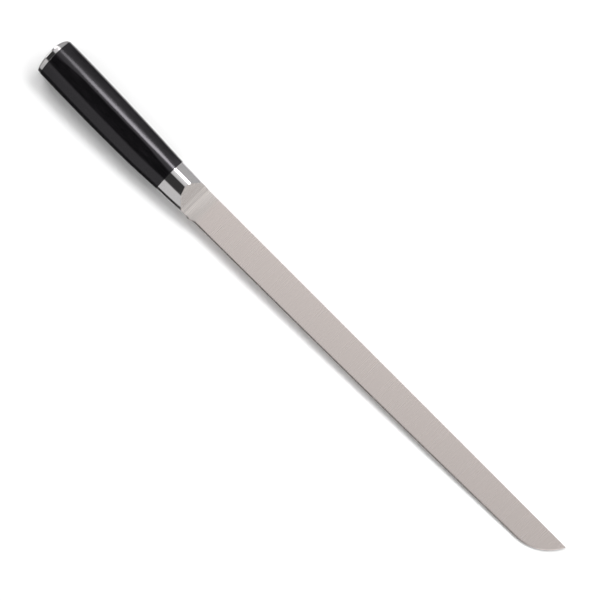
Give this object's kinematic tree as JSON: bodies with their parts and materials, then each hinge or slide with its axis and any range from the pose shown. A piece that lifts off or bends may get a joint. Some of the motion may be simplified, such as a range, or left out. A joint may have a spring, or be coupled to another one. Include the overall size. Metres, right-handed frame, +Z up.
{
  "type": "ham knife",
  "caption": "Long narrow ham slicing knife with a nearly straight satin steel blade, round-ended tip, hollow-ground bolster, black D-section handle and steel butt cap, lying on its side.",
  "frame": {"origin": "middle of the knife's footprint, on the table that it lies on", "axes": "+X from the butt to the tip along the table, +Y from the cutting edge towards the spine, +Z up out of the table, with the knife's right face up"},
  "size_m": [0.4404, 0.028, 0.0203],
  "materials": {
    "blade_steel": "satin, finely ground across the blade",
    "polished_steel": "semi-polished",
    "black_laminated_wood": "resin-impregnated laminate with fine lengthwise grain, satin gloss",
    "tang_steel": "as rolled",
    "epoxy": "cured resin"
  },
  "bodies": {
    "root": {"blade": "blade_steel", "bolster": "polished_steel", "end_cap": "polished_steel", "handle": "black_laminated_wood", "tang_bar": "tang_steel", "epoxy_bed": "epoxy"}
  },
  "joints": []
}
